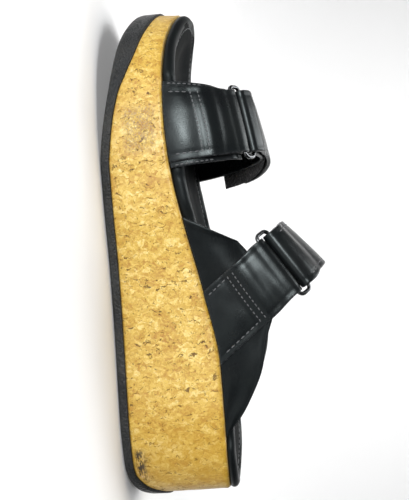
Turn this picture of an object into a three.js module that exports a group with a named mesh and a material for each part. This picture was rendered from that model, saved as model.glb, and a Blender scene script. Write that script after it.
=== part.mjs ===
// Platform sandal, left shoe: cork wedge on a rubber outsole, padded footbed, and two leather straps
// that run through rectangular wire rings on the outer side. Millimetres, +Z up, +X to the toe,
// +Y to the outer side. The origin is under the middle of the shoe's box, on the ground.
import * as THREE from 'three';

// ---- driving dimensions -------------------------------------------------------------------------
const LENGTH = 258; // heel to toe
const TIP_SIDE = -8; // the toe's tip lies this far to the inner side
const GAP = 0.3; // air between neighbouring pieces
const HEEL_RADIUS = 31; // half width that rules the insets at the heel
const BALL_RADIUS = 45; // the same at the ball
const RUBBER = 4.5; // outsole thickness
const BUMPER_LIP = 1.0; // the rubber stands proud of the cork
const CORK_TAPER = 0.8; // the cork's top edge lies this far inside its lower edge
const FOOTBED_INSET = 3.9; // footbed rim behind the cork's lower outline
const RIM_HEIGHT = 6.8; // footbed rim above the cork
const RIM_ROUND = 2.2; // the rim's rounded shoulder
const FOOTBED_DISH = 3.6; // hollow of the footbed below its rim
const DISH_SLOPE = 20; // width of the slope from rim to hollow
const GROOVE_DEPTH = 1.6; // tread grooves
const GROOVE_REACH = 0.8; // share of the half width that they cross
const LAST_INSET = 3.0; // inner face of the straps at the sole
const LAST_POWER = 2.15; // fullness of the last's sections
const RIDGE_SIDE = -3; // the last's ridge lies to the inner side
const PLY = 1.2; // leather of the linings and bands
const PLY_GAP = 0.45; // air between their plies
const QUARTER = 1.4; // leather of the instep quarters
const STRAP = 2.2; // doubled leather of the straps
const PILE_GAP = 1.2; // room for the hook-and-loop faces between a strap and its tab
const WIRE = 1.0; // radius of the ring wire
const RING_PITCH = 7.8; // between the ring's two long bars
const RING_SPARE = 1.2; // the ring is longer than the strap is wide, at each end
const RING_CORNER = 2.6;
const RING_FLAT = 6.5; // the strap is flat this far from the ring's middle
const RING_BLEND = 15; // and back on the last from here
const FOOT_GAP = 0.5; // air between the cork and what stands on it
const WIRE_GAP = 0.35; // air between a fold and its bar
const RETURN = 19; // length of the band's turned-back end
const BAND_RAMP = 8; // length over which the band climbs onto its turned-back end
const STRAP_RAMP = 12; // the same where the strap climbs to the ring
const LINING_SPARE = 2.4; // the lining is wider than the band, at each edge
const TAB_CORNER = 2.5; // cut off the tab's corners
const CUP_WALL = 3; // thickness of the rubber where it climbs the cork
const CUP_SLOPE = 8; // width of the slope from there to the sole's thickness

// ---- tables -------------------------------------------------------------------------------------
// Plan: half widths to the outer and inner side of the heel-to-toe line.
const plan = [
  { s: 0.0, outer: 0, inner: 0 },
  { s: 0.012, outer: 12, inner: 12 },
  { s: 0.04, outer: 20.5, inner: 20.5 },
  { s: 0.09, outer: 27.5, inner: 27.5 },
  { s: 0.18, outer: 32, inner: 31.5 },
  { s: 0.32, outer: 33, inner: 29 },
  { s: 0.46, outer: 36, inner: 30 },
  { s: 0.6, outer: 42.5, inner: 38.5 },
  { s: 0.72, outer: 45.5, inner: 44 },
  { s: 0.82, outer: 42.5, inner: 44 },
  { s: 0.9, outer: 34, inner: 40.5 },
  { s: 0.955, outer: 21.5, inner: 33 },
  { s: 0.988, outer: 7.5, inner: 22 },
  { s: 1.0, outer: TIP_SIDE, inner: -TIP_SIDE },
];

// Side view: ground clearance, height of the rubber's edge above it, and the cork's upper edge.
const side = [
  { s: 0.0, bottom: 12, edge: 8.5, top: 51.8 },
  { s: 0.018, bottom: 4.8, edge: 6.6, top: 52.1 },
  { s: 0.035, bottom: 2.1, edge: 5.4, top: 52.3 },
  { s: 0.055, bottom: 0.5, edge: RUBBER, top: 52.5 },
  { s: 0.08, bottom: 0, edge: RUBBER, top: 52.6 },
  { s: 0.15, bottom: 0, edge: RUBBER, top: 52.7 },
  { s: 0.27, bottom: 0, edge: RUBBER, top: 52.1 },
  { s: 0.41, bottom: 0, edge: RUBBER, top: 46 },
  { s: 0.55, bottom: 0, edge: RUBBER, top: 38.5 },
  { s: 0.66, bottom: 0, edge: RUBBER, top: 33.9 },
  { s: 0.7, bottom: 1.1, edge: RUBBER, top: 33.1 },
  { s: 0.75, bottom: 3, edge: RUBBER, top: 32.4 },
  { s: 0.8, bottom: 5.3, edge: RUBBER + 0.6, top: 32.2 },
  { s: 0.84, bottom: 7.1, edge: 7.4, top: 32.3 },
  { s: 0.9, bottom: 9.7, edge: 10.4, top: 33.2 },
  { s: 0.96, bottom: 14.4, edge: 11, top: 36 },
  { s: 0.985, bottom: 17.8, edge: 10.2, top: 38 },
  { s: 1.0, bottom: 22.6, edge: 7.2, top: 39.2 },
];

// The last's ridge line over the forefoot and instep.
const ridge = [
  { x: 20, z: 129 },
  { x: 74, z: 123.5 },
  { x: 94, z: 118.2 },
  { x: 113, z: 103.2 },
  { x: 124, z: 91.3 },
  { x: 136, z: 81.8 },
  { x: 152, z: 78.6 },
  { x: 176, z: 77.2 },
  { x: 190, z: 74.6 },
  { x: 209, z: 69.5 },
  { x: 235, z: 61 },
];

// Quarters under the instep strap, from rear to front: where each row leaves the sole and where it ends.
const outerQuarter = [
  { base: 33, x: 36.5, z: 55.7 },
  { base: 40, x: 44, z: 62 },
  { base: 48, x: 52, z: 66.7 },
  { base: 58, x: 66, z: 73 },
  { base: 70, x: 82, z: 76.5 },
  { base: 84, x: 95, z: 80.1 },
  { base: 100, x: 107, z: 79.5 },
  { base: 118, x: 118, z: 73.2 },
  { base: 132, x: 126.5, z: 67.4 },
  { base: 144, x: 130.5, z: 63.9 },
];
const innerQuarter = [
  { base: 34, x: 37, z: 55 },
  { base: 41, x: 43, z: 60.9 },
  { base: 49, x: 50.5, z: 66.7 },
  { base: 59, x: 62, z: 71.5 },
  { base: 71, x: 76, z: 75 },
  { base: 86, x: 92, z: 76.5 },
  { base: 103, x: 107, z: 74 },
  { base: 118, x: 117, z: 67.7 },
  { base: 130, x: 126, z: 60.4 },
  { base: 138, x: 132, z: 53.5 },
  { base: 144, x: 136.5, z: 46.5 },
];

// Straps: where each edge meets the sole on both sides, and where it crosses the ridge. ring is the
// ring's place in degrees up from the outer base, tab the share of the way from ring to inner base
// where the tab ends, and lift the height of the whole strap above the last.
const frontStrap = {
  front: { outer: 208.5, crest: 205.5, inner: 206 },
  rear: { outer: 170.5, crest: 175, inner: 169 },
  ring: 55,
  tab: 0.68,
  swing: 3,
  lift: 0,
};
const instepStrap = {
  front: { outer: 106.5, crest: 136, inner: 107.5 },
  rear: { outer: 69, crest: 112.5, inner: 70.5 },
  ring: 52,
  tab: 0.7,
  swing: 0,
  lift: QUARTER + PLY_GAP,
};

// Tread grooves across the sole: where each crosses the middle, and its width.
const grooves = [
  { x: 32, width: 3 },
  { x: 46, width: 3 },
  { x: 60, width: 3 },
  { x: 150, width: 3 },
  { x: 165, width: 3 },
  { x: 180, width: 3 },
  { x: 195, width: 3 },
];

// ---- small maths --------------------------------------------------------------------------------
const clamp = (v, lo = 0, hi = 1) => Math.min(hi, Math.max(lo, v));
const mix = (a, b, t) => a + (b - a) * t;
const ease = (t) => {
  const c = clamp(t);
  return c * c * (3 - 2 * c);
};
const span = (n) => Array.from({ length: n + 1 }, (_, i) => i / n);
const radians = THREE.MathUtils.degToRad;

// Smooth curve through the rows of a table, without overshoot.
function curve(rows, from, to, warp = (v) => v) {
  const t = rows.map((r) => warp(r[from]));
  const v = rows.map((r) => r[to]);
  const steps = t.slice(1).map((_, i) => (v[i + 1] - v[i]) / (t[i + 1] - t[i]));
  const slope = v.map((_, i) => {
    if (i === 0) return steps[0];
    if (i === v.length - 1) return steps[i - 1];
    const [a, b] = [steps[i - 1], steps[i]];
    return a * b <= 0 ? 0 : (2 * a * b) / (a + b);
  });
  return (at) => {
    const w = clamp(warp(at), t[0], t[t.length - 1]);
    const i = Math.max(0, t.findIndex((_, k) => k < t.length - 1 && w <= t[k + 1]));
    const h = t[i + 1] - t[i];
    const q = (w - t[i]) / h;
    const [q2, q3] = [q * q, q * q * q];
    return (
      (2 * q3 - 3 * q2 + 1) * v[i] + (q3 - 2 * q2 + q) * h * slope[i] +
      (3 * q2 - 2 * q3) * v[i + 1] + (q3 - q2) * h * slope[i + 1]
    );
  };
}

// ---- the sole's own functions -------------------------------------------------------------------
const roundEnds = (s) => Math.acos(1 - 2 * clamp(s)); // makes both ends of the plan round
const outerWidth = curve(plan, 's', 'outer', roundEnds);
const innerWidth = curve(plan, 's', 'inner', roundEnds);
const bottomOf = curve(side, 's', 'bottom');
const edgeOf = curve(side, 's', 'edge');
const topOf = curve(side, 's', 'top');
const endRadius = (s) => mix(HEEL_RADIUS, BALL_RADIUS, ease((s - 0.3) / 0.4));

// One station of the plan, moved inwards by inset.
function station(s, inset = 0) {
  const half = ((outerWidth(s) + innerWidth(s)) / 2) * (1 - inset / endRadius(s));
  return { x: mix(inset, LENGTH - inset, s), middle: (outerWidth(s) - innerWidth(s)) / 2, half };
}

const shareAt = (x) => clamp(x / LENGTH);
const corkTop = (x) => topOf(shareAt(x));

// Distance from the outline, for a point at share v of the half width.
function depth(s, v, half) {
  return Math.min((1 - Math.abs(v)) * half, Math.min(s, 1 - s) * LENGTH);
}

// ---- meshes -------------------------------------------------------------------------------------
function geometry(points, faces) {
  const shape = new THREE.BufferGeometry();
  shape.setAttribute('position', new THREE.Float32BufferAttribute(points.flat(), 3));
  shape.setIndex(faces.flat());
  shape.computeVertexNormals();
  return shape;
}

// A slab between two grids of points with the same rows and columns. Both grids are seen from the
// front grid's side, and the rims between them are closed.
function slab(front, back, flip = false) {
  const rows = front.length;
  const columns = front[0].length;
  const points = [...front.flat(), ...back.flat()];
  const at = (layer, i, j) => layer * rows * columns + i * columns + j;
  const faces = [];
  const quad = (a, b, c, d) => {
    const turned = flip ? [a, c, b, a, d, c] : [a, b, c, a, c, d];
    faces.push(turned);
  };
  for (let i = 0; i < rows - 1; i += 1) {
    for (let j = 0; j < columns - 1; j += 1) {
      quad(at(0, i, j), at(0, i + 1, j), at(0, i + 1, j + 1), at(0, i, j + 1));
      quad(at(1, i, j), at(1, i, j + 1), at(1, i + 1, j + 1), at(1, i + 1, j));
    }
    quad(at(0, i, 0), at(1, i, 0), at(1, i + 1, 0), at(0, i + 1, 0));
    const last = columns - 1;
    quad(at(0, i, last), at(0, i + 1, last), at(1, i + 1, last), at(1, i, last));
  }
  for (let j = 0; j < columns - 1; j += 1) {
    quad(at(0, 0, j), at(0, 0, j + 1), at(1, 0, j + 1), at(1, 0, j));
    const end = rows - 1;
    quad(at(0, end, j), at(1, end, j), at(1, end, j + 1), at(0, end, j + 1));
  }
  return geometry(points, faces);
}

// Stations from heel to toe, close together at the round ends.
function stations(count) {
  return span(count).map((t) => (1 - Math.cos(Math.PI * mix(0.012, 0.988, t))) / 2);
}

// Grid of a sole layer: height(s, v, half) gives each point's height.
function soleGrid(shares, across, inset, height) {
  return shares.map((s) => {
    const { x, middle, half } = station(s, inset);
    return across.map((v) => [x, middle + v * half, height(s, v, half)]);
  });
}

// ---- sole ---------------------------------------------------------------------------------------

// Upper face of the rubber: it climbs round the edge at toe and heel.
function rubberTop(s, v) {
  const climb = 1 - ease((depth(s, v, station(s).half) - CUP_WALL) / CUP_SLOPE);
  return bottomOf(s) + mix(RUBBER, edgeOf(s), climb);
}

const soleShares = stations(32);
const soleAcross = [-1, -0.93, -0.84, -0.76, -0.4, 0, 0.4, 0.76, 0.84, 0.93, 1];

function makeOutsole() {
  const STEP = 0.4; // run of a groove's wall
  const walls = ({ x, width }) => [x - width / 2 - STEP, x - width / 2, x + width / 2, x + width / 2 + STEP];
  const clear = (s) => grooves.every((g) => Math.abs(s * LENGTH - g.x) > g.width + STEP);
  const shares = [...soleShares.filter(clear), ...grooves.flatMap(walls).map(shareAt)].sort((a, b) => a - b);
  const tread = (s, v) => {
    const cut = grooves.some((g) => Math.abs(s * LENGTH - g.x) < g.width / 2 + STEP / 2);
    return bottomOf(s) + (cut && Math.abs(v) < GROOVE_REACH ? GROOVE_DEPTH : 0);
  };
  return slab(
    soleGrid(shares, soleAcross, -BUMPER_LIP, (s, v) => rubberTop(s, v)),
    soleGrid(shares, soleAcross, -BUMPER_LIP, tread),
  );
}

function makeMidsole() {
  return slab(
    soleGrid(soleShares, soleAcross, CORK_TAPER, (s) => topOf(s)),
    soleGrid(soleShares, soleAcross, 0, (s, v) => rubberTop(s, v) + GAP),
  );
}

function makeFootbed() {
  const shares = stations(34);
  const across = [-1, -0.96, -0.88, -0.74, -0.45, 0, 0.45, 0.74, 0.88, 0.96, 1];
  const top = (s, v, half) => {
    const d = depth(s, v, half);
    const shoulder = RIM_ROUND * (1 - Math.sqrt(clamp(d / RIM_ROUND)));
    const dish = FOOTBED_DISH * ease((d - 2 * RIM_ROUND) / DISH_SLOPE);
    return topOf(s) + RIM_HEIGHT - shoulder - dish;
  };
  const bottom = soleGrid(shares, across, FOOTBED_INSET, (s) => topOf(s) + FOOT_GAP);
  return slab(soleGrid(shares, across, FOOTBED_INSET, top), bottom);
}

// ---- the last, which the straps and quarters lie on ----------------------------------------------
const ridgeOf = curve(ridge, 'x', 'z');

// Point of the last at length x and height z, on the outer (+1) or inner (-1) side.
function lastPoint(x, z, hand) {
  const { middle, half } = station(shareAt(x), LAST_INSET);
  const foot = corkTop(x) + FOOT_GAP;
  const r = clamp((z - foot) / (ridgeOf(x) - foot));
  const full = (1 - r ** LAST_POWER) ** (1 / LAST_POWER);
  const crest = RIDGE_SIDE;
  return new THREE.Vector3(x, mix(crest, middle + hand * half, full), z);
}

// Outward direction of the last at such a point, from three near ones.
function lastNormal(x, z, hand) {
  const d = 0.5;
  const along = lastPoint(x + d, z, hand).sub(lastPoint(x - d, z, hand));
  const up = lastPoint(x, z + d, hand).sub(lastPoint(x, z - d, hand));
  return along.cross(up).multiplyScalar(-hand).normalize();
}

// ---- quarters -----------------------------------------------------------------------------------
function makeQuarter(rows, hand) {
  const numbered = rows.map((row, i) => ({ ...row, i }));
  const base = curve(numbered, 'i', 'base');
  const endX = curve(numbered, 'i', 'x');
  const endZ = curve(numbered, 'i', 'z');
  const grid = (height) =>
    span(26).map((p) => {
      const i = p * (rows.length - 1);
      return span(7).map((q) => {
        const x = mix(base(i), endX(i), q);
        const foot = corkTop(base(i)) + FOOT_GAP;
        const z = Math.max(mix(foot, endZ(i), q), corkTop(x) + FOOT_GAP);
        return lastPoint(x, z, hand).addScaledVector(lastNormal(x, z + 1, hand), height).toArray();
      });
    });
  return slab(grid(QUARTER), grid(0), hand > 0);
}

// ---- straps -------------------------------------------------------------------------------------
// One edge of a strap: an arch from the outer base over the ridge to the inner base.
function archPoint(edge, degrees) {
  const hand = degrees <= 90 ? 1 : -1;
  const base = hand > 0 ? edge.outer : edge.inner;
  const rise = Math.sin(radians(degrees));
  const x = mix(base, edge.crest, rise);
  const z = mix(corkTop(base) + FOOT_GAP, ridgeOf(edge.crest), rise);
  return lastPoint(x, z, hand);
}

// The strap's edge at a share of the way from its front edge (0) to its rear edge (1).
const edgeAt = (strap, share) =>
  Object.fromEntries(Object.keys(strap.front).map((k) => [k, mix(strap.front[k], strap.rear[k], share)]));

// A strap's surface: it lies on the last near the sole, is ruled from edge to edge higher up, and is
// flat where it meets the ring.
function strapSurface(strap) {
  const ARCH_STEPS = 180;
  const onLast = (degrees) => Math.max(ease((strap.ring - 8 - degrees) / 18), ease((degrees - 110) / 40));
  const point = (share, degrees) => {
    const ruled = archPoint(strap.front, degrees).lerp(archPoint(strap.rear, degrees), share);
    const exact = archPoint(edgeAt(strap, share), degrees);
    return ruled.lerp(exact, onLast(degrees));
  };
  const lengths = new Map();
  const ladder = (share) => {
    const key = share.toFixed(4);
    if (!lengths.has(key)) {
      const run = [0];
      for (let i = 1; i <= ARCH_STEPS; i += 1) {
        run.push(run[i - 1] + point(share, i).distanceTo(point(share, i - 1)));
      }
      lengths.set(key, run);
    }
    return lengths.get(key);
  };
  const degreesAt = (share, distance) => {
    const run = ladder(share);
    const wanted = clamp(distance, 0, run[ARCH_STEPS]);
    const i = clamp(run.findIndex((r) => r >= wanted), 1, ARCH_STEPS);
    return i - 1 + (wanted - run[i - 1]) / (run[i] - run[i - 1]);
  };
  const middle = point(0.5, strap.ring);
  const across = point(1, strap.ring).sub(point(0, strap.ring));
  const width = across.length();
  across.normalize();
  const rise = point(0.5, strap.ring + 2).sub(point(0.5, strap.ring - 2));
  const normal = across.clone().cross(rise).normalize();
  const along = normal.clone().cross(across);
  const frame = { middle, across, along, normal, width };
  const flat = (share, mm, height) =>
    middle.clone().addScaledVector(across, (share - 0.5) * width)
      .addScaledVector(along, mm).addScaledVector(normal, height + strap.lift);
  const place = (share, distance, height) => {
    const degrees = degreesAt(share, distance);
    const step = 0.6;
    const up = point(share, Math.min(180, degrees + step)).sub(point(share, Math.max(0, degrees - step)));
    const sideways = point(Math.min(1, share + 0.1), degrees).sub(point(Math.max(0, share - 0.1), degrees));
    const outward = sideways.cross(up).normalize();
    const curved = point(share, degrees).addScaledVector(outward, height + strap.lift);
    const mm = distance - ladder(share)[strap.ring];
    const level = ease((RING_BLEND - Math.abs(mm)) / (RING_BLEND - RING_FLAT));
    return curved.lerp(flat(share, mm, height), level);
  };
  return {
    place,
    flat,
    frame,
    toRing: (share) => ladder(share)[strap.ring],
    total: (share) => ladder(share)[ARCH_STEPS],
    width: (distance) => {
      const degrees = degreesAt(0.5, distance);
      return point(0, degrees).distanceTo(point(1, degrees));
    },
  };
}

// Path rows: way is the share of the way from the ring (0) to the base (1), mm a distance past that,
// up the height of the ribbon's middle, and front and rear how far its edges are drawn in.
const row = (way, mm, up, front = 0, rear = 0) => ({ way, mm, up, front, rear });

function between(a, b, count) {
  return span(count).slice(1).map((t) =>
    Object.fromEntries(Object.keys(a).map((key) => [key, mix(a[key], b[key], key === 'up' ? ease(t) : t)])));
}

// Joins anchor rows with evenly spaced ones.
function fill(anchors, counts) {
  return anchors.slice(1).reduce(
    (path, next, i) => [...path, ...between(anchors[i], next, counts[i])],
    [anchors[0]],
  );
}

// A leather ribbon of the given thickness along a path on the strap's surface. toInner is true
// where the path's way leads from the ring to the inner base.
function ribbon(surface, path, thickness, toInner) {
  const columns = span(5);
  const distanceOf = (r, share) => {
    const ring = surface.toRing(share);
    return toInner ? ring + r.way * (surface.total(share) - ring) + r.mm : ring * (1 - r.way) - r.mm;
  };
  const flat = path.map((r) => new THREE.Vector2(distanceOf(r, 0.5), r.up));
  const sides = [1, -1].map((sign) =>
    path.map((r, i) => {
      const before = flat[Math.max(0, i - 1)];
      const after = flat[Math.min(path.length - 1, i + 1)];
      const along = after.clone().sub(before).normalize();
      const shift = new THREE.Vector2(-along.y, along.x).multiplyScalar((sign * thickness) / 2);
      const width = surface.width(flat[i].x);
      return columns.map((c) => {
        const share = mix(r.front / width, 1 - r.rear / width, c);
        return surface.place(share, distanceOf(r, share) + shift.x, r.up + shift.y).toArray();
      });
    }));
  return slab(sides[0], sides[1], true);
}

// Turn round a bar of the ring: from the outer ply (+) to the inner ply (-), or the other way.
function turn(barMm, barUp, radius, from, to, steps) {
  return span(steps).map((t) => {
    const angle = radians(mix(from, to, t));
    return row(0, barMm + radius * Math.cos(angle), barUp + radius * Math.sin(angle));
  });
}

const BAND_TURN = WIRE + WIRE_GAP + PLY / 2;
const STRAP_TURN = WIRE + WIRE_GAP + STRAP / 2;
const liningUp = PLY / 2;
const returnUp = 1.5 * PLY + PLY_GAP;
const ringUp = returnUp + BAND_TURN;
const bandUp = returnUp + PLY + PLY_GAP;

// The band climbs from the sole, turns round the ring's lower bar and comes back under itself.
function makeBand(strap, floor) {
  const surface = strapSurface(strap);
  const bar = RING_PITCH / 2;
  const path = fill(
    [
      row(1, 0, floor + PLY / 2),
      row(0, RETURN - 1 + BAND_RAMP, floor + PLY / 2),
      row(0, RETURN - 1, bandUp),
      row(0, bar + 5, bandUp),
    ],
    [5, 3, 4],
  );
  path.push(...turn(bar, ringUp, BAND_TURN, 90, 270, 8));
  path.push(...fill([path[path.length - 1], row(0, RETURN - 2, returnUp)], [4]).slice(1));
  return ribbon(surface, path, PLY, false);
}

// The lining under the front band, wider than the band.
function makeLining(strap) {
  const surface = strapSurface(strap);
  const wider = -LINING_SPARE;
  const path = fill([row(1, 0, liningUp, wider, wider), row(0, 3, liningUp, wider, wider)], [9]);
  return ribbon(surface, path, PLY, false);
}

// The strap climbs from the inner base over the foot, turns round the ring's upper bar and comes back
// over itself as the tab.
function makeStrap(strap) {
  const surface = strapSurface(strap);
  const bar = RING_PITCH / 2;
  const lowUp = STRAP / 2;
  const tabUp = lowUp + STRAP + PILE_GAP;
  const path = fill(
    [row(1, 0, lowUp), row(0, bar + 2 + STRAP_RAMP, lowUp), row(0, bar + 2, ringUp - STRAP_TURN)],
    [12, 4],
  );
  path.push(...turn(bar, ringUp, STRAP_TURN, -90, -270, 10));
  const last = path[path.length - 1];
  const swing = strap.swing;
  const end = row(strap.tab, 0, tabUp, TAB_CORNER + swing, TAB_CORNER - swing);
  const nearEnd = row(strap.tab, -4, tabUp, swing * 0.7, -swing * 0.7);
  path.push(...fill([last, row(0, bar + 13, tabUp), nearEnd], [5, 7]).slice(1), end);
  return ribbon(surface, path, STRAP, true);
}

// ---- rings --------------------------------------------------------------------------------------
// Closed wire loop through the given points.
function wireLoop(points, radius) {
  const SIDES = 8;
  const count = points.length;
  const centre = points.reduce((sum, p) => sum.add(p), new THREE.Vector3()).divideScalar(count);
  const up = points[0].clone().sub(centre).cross(points[1].clone().sub(points[0])).normalize();
  const rings = points.map((p, i) => {
    const along = points[(i + 1) % count].clone().sub(points[(i + count - 1) % count]).normalize();
    const out = along.clone().cross(up).normalize();
    const rise = out.clone().cross(along).normalize();
    return span(SIDES).slice(0, SIDES).map((t) => {
      const angle = t * 2 * Math.PI;
      const side = out.clone().multiplyScalar(radius * Math.cos(angle));
      return p.clone().add(side).addScaledVector(rise, radius * Math.sin(angle)).toArray();
    });
  });
  const faces = [];
  for (let i = 0; i < count; i += 1) {
    for (let k = 0; k < SIDES; k += 1) {
      const a = i * SIDES + k;
      const b = i * SIDES + ((k + 1) % SIDES);
      const c = ((i + 1) % count) * SIDES + ((k + 1) % SIDES);
      const d = ((i + 1) % count) * SIDES + k;
      faces.push([a, c, b, a, d, c]);
    }
  }
  return geometry(rings.flat(), faces);
}

function makeRing(strap) {
  const surface = strapSurface(strap);
  const { width } = surface.frame;
  const half = width / 2 + RING_SPARE + WIRE;
  const reach = RING_PITCH / 2;
  const CORNER_STEPS = 4;
  const corners = [[1, 1, 0], [-1, 1, 90], [-1, -1, 180], [1, -1, 270]];
  const points = corners.flatMap(([cx, cy, start]) =>
    span(CORNER_STEPS).map((t) => {
      const angle = radians(start + 90 * t);
      const u = cx * (half - RING_CORNER) + RING_CORNER * Math.cos(angle);
      const v = cy * (reach - RING_CORNER) + RING_CORNER * Math.sin(angle);
      return surface.flat(u / width + 0.5, v, ringUp);
    }));
  return wireLoop(points, WIRE);
}

// ---- assembly -----------------------------------------------------------------------------------
const looks = {
  rubber: { color: 0x1d1f20, roughness: 0.75, metalness: 0 },
  cork: { color: 0xd6a23c, roughness: 0.7, metalness: 0 },
  lining: { color: 0x17181a, roughness: 0.7, metalness: 0 },
  leather: { color: 0x14161a, roughness: 0.38, metalness: 0 },
  metal: { color: 0x2b2c2e, roughness: 0.22, metalness: 1 },
};

const shoe = new THREE.Group();
function add(name, shape, look) {
  const mesh = new THREE.Mesh(shape, new THREE.MeshStandardMaterial(looks[look]));
  mesh.name = name;
  shoe.add(mesh);
}

add('outsole', makeOutsole(), 'rubber');
add('midsole', makeMidsole(), 'cork');
add('footbed', makeFootbed(), 'lining');
add('front_lining', makeLining(frontStrap), 'lining');
add('front_band', makeBand(frontStrap, PLY + PLY_GAP), 'leather');
add('front_ring', makeRing(frontStrap), 'metal');
add('front_strap', makeStrap(frontStrap), 'leather');
add('instep_quarter_outer', makeQuarter(outerQuarter, 1), 'leather');
add('instep_quarter_inner', makeQuarter(innerQuarter, -1), 'leather');
add('instep_band', makeBand(instepStrap, 0), 'leather');
add('instep_ring', makeRing(instepStrap), 'metal');
add('instep_strap', makeStrap(instepStrap), 'leather');

const box = new THREE.Box3().setFromObject(shoe);
const middle = box.getCenter(new THREE.Vector3());
shoe.position.set(-middle.x, -middle.y, -box.min.z);

export default shoe;
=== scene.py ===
import math
from bisect import bisect_right

import bmesh
import bpy
from mathutils import Matrix, Vector, noise


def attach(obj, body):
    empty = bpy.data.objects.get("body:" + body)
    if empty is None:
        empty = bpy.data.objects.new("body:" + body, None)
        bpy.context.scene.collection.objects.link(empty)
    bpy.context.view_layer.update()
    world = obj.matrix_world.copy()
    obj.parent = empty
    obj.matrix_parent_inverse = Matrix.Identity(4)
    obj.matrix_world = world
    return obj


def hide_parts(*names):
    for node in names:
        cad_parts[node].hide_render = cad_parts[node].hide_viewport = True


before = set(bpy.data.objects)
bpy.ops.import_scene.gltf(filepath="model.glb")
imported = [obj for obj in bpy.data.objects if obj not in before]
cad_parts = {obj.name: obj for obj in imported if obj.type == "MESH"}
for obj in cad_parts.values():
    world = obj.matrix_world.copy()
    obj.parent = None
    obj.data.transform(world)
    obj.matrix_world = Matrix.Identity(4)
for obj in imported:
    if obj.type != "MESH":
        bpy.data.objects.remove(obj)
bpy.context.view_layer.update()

# The shoe is worked out in millimetres from the heel's end, and brought to the frame in metres.
mm = 0.001
print("frame loaded")


def rows(names, *values):
    return [dict(zip(names.split(), v)) for v in values]


def mix(a, b, t):
    return a + (b - a) * t


def clamp(v, lo=0.0, hi=1.0):
    return min(hi, max(lo, v))


def ease(t):
    c = clamp(t)
    return c * c * (3 - 2 * c)


def bump(x, at, width):  # 1 at the middle, 0 beyond the width
    return ease(1 - abs(x - at) / width)


def smoothCurve(table, across, down, warp=None):
    # a smooth line through a table's rows, without overshoot
    warp = warp or (lambda v: v)
    t = [warp(r[across]) for r in table]
    v = [r[down] for r in table]
    steps = [(v[i + 1] - v[i]) / (t[i + 1] - t[i]) for i in range(len(t) - 1)]
    slope = [steps[0]]
    for a, b in zip(steps, steps[1:]):
        slope.append(0.0 if a * b <= 0 else 2 * a * b / (a + b))
    slope.append(steps[-1])

    def at(x):
        w = clamp(warp(x), t[0], t[-1])
        i = min(max(bisect_right(t, w) - 1, 0), len(t) - 2)
        h = t[i + 1] - t[i]
        q = (w - t[i]) / h
        q2, q3 = q * q, q * q * q
        low = (2 * q3 - 3 * q2 + 1) * v[i] + (q3 - 2 * q2 + q) * h * slope[i]
        return low + (3 * q2 - 2 * q3) * v[i + 1] + (q3 - q2) * h * slope[i + 1]

    return at


# the shoe's lines, as the frame has them
shoe = {
    "length": 258.0,
    "rubber": 4.5,  # outsole thickness
    "lip": 1.0,  # rubber proud of the cork
    "taper": 0.8,  # cork narrower at its top
    "heelRadius": 31.0,
    "ballRadius": 45.0,
    "lastInset": 3.0,
    "lastPower": 2.15,
    "ridgeSide": -3.0,
    "footGap": 0.5,
    "ply": 1.2,
    "plyGap": 0.45,
    "quarter": 1.4,
    "strap": 2.2,
    "wire": 1.0,
    "ringPitch": 7.8,
    "ringUp": 4.2,
    "ringSpare": 1.2,
    "ringCorner": 2.6,
    "ringFlat": 6.5,
    "ringBlend": 15.0,
    "bandReturn": 19.0,
}
plan = rows(
    "s outer inner",
    (0.0, 0, 0), (0.012, 12, 12), (0.04, 20.5, 20.5), (0.09, 27.5, 27.5), (0.18, 32, 31.5),
    (0.32, 33, 29), (0.46, 36, 30), (0.6, 42.5, 38.5), (0.72, 45.5, 44), (0.82, 42.5, 44),
    (0.9, 34, 40.5), (0.955, 21.5, 33), (0.988, 7.5, 22), (1.0, -8, 8),
)
side = rows(
    "s bottom edge top",
    (0, 12, 8.5, 51.8), (0.018, 4.8, 6.6, 52.1), (0.035, 2.1, 5.4, 52.3), (0.055, 0.5, 4.5, 52.5),
    (0.08, 0, 4.5, 52.6), (0.15, 0, 4.5, 52.7), (0.27, 0, 4.5, 52.1), (0.41, 0, 4.5, 46),
    (0.55, 0, 4.5, 38.5), (0.66, 0, 4.5, 33.9), (0.7, 1.1, 4.5, 33.1), (0.75, 3, 4.5, 32.4),
    (0.8, 5.3, 5.1, 32.2), (0.84, 7.1, 7.4, 32.3), (0.9, 9.7, 10.4, 33.2), (0.96, 14.4, 11, 36),
    (0.985, 17.8, 10.2, 38), (1, 22.6, 7.2, 39.2),
)
ridge = rows(
    "x z",
    (20, 129), (74, 123.5), (94, 118.2), (113, 103.2), (124, 91.3), (136, 81.8), (152, 78.6),
    (176, 77.2), (190, 74.6), (209, 69.5), (235, 61),
)


def roundEnds(s):
    return math.acos(1 - 2 * clamp(s))


outerWidth = smoothCurve(plan, "s", "outer", roundEnds)
innerWidth = smoothCurve(plan, "s", "inner", roundEnds)
bottomOf = smoothCurve(side, "s", "bottom")
edgeOf = smoothCurve(side, "s", "edge")
topOf = smoothCurve(side, "s", "top")
ridgeOf = smoothCurve(ridge, "x", "z")


def station(s, inset=0.0):
    # length, middle and half width of the plan, moved inwards by inset
    ends = mix(shoe["heelRadius"], shoe["ballRadius"], ease((s - 0.3) / 0.4))
    outer, inner = outerWidth(s), innerWidth(s)
    half = (outer + inner) / 2 * (1 - inset / ends)
    return mix(inset, shoe["length"] - inset, s), (outer - inner) / 2, half


def shareAt(x):
    return clamp(x / shoe["length"])


def corkTop(x):
    return topOf(shareAt(x))


widest = [station(i / 200, -shoe["lip"]) for i in range(201)]
shift = Vector((
    -shoe["length"] / 2,
    -(max(m + h for _, m, h in widest) + min(m - h for _, m, h in widest)) / 2,
    0,
))


def toFrame(p):
    return (Vector(p) + shift) * mm


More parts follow.
